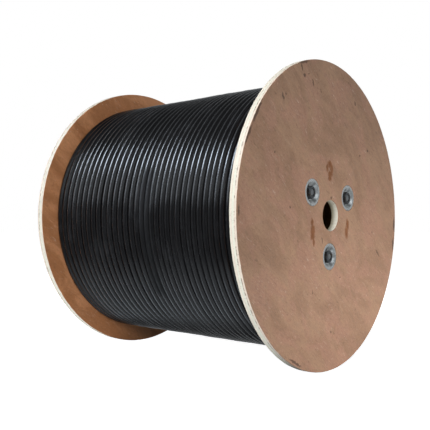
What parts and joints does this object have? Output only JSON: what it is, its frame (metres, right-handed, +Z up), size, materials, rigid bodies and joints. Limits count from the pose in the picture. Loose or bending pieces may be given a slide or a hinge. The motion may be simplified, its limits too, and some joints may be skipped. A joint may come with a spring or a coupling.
{
  "type": "wooden cable drum",
  "caption": "Plywood cable drum with round flanges, cup washers and nuts, wound full of black round cable.",
  "frame": {"origin": "middle of the drum's axis, half way between the flanges", "axes": "+X along the drum's axis out of the right flange, +Z up; the drum lies on its rims"},
  "size_m": [0.31, 0.35, 0.35],
  "materials": {
    "plywood": "sanded plywood, brown face veneer and pale edge",
    "cardboard": "wound kraft board",
    "cable_jacket": "glossy black jacket",
    "zinc_rod": "zinc-plated thread",
    "zinc_washer": "zinc plate, satin",
    "dark_nut": "dulled zinc plate"
  },
  "bodies": {
    "root": {"flange_right": "plywood", "flange_left": "plywood", "core_tube": "cardboard", "cable": "cable_jacket", "tie_rod_1": "zinc_rod", "tie_rod_2": "zinc_rod", "tie_rod_3": "zinc_rod", "cup_washer_right_1": "zinc_washer", "cup_washer_right_2": "zinc_washer", "cup_washer_right_3": "zinc_washer", "cup_washer_left_1": "zinc_washer", "cup_washer_left_2": "zinc_washer", "cup_washer_left_3": "zinc_washer", "nut_right_1": "dark_nut", "nut_right_2": "dark_nut", "nut_right_3": "dark_nut", "nut_left_1": "dark_nut", "nut_left_2": "dark_nut", "nut_left_3": "dark_nut"}
  },
  "joints": []
}
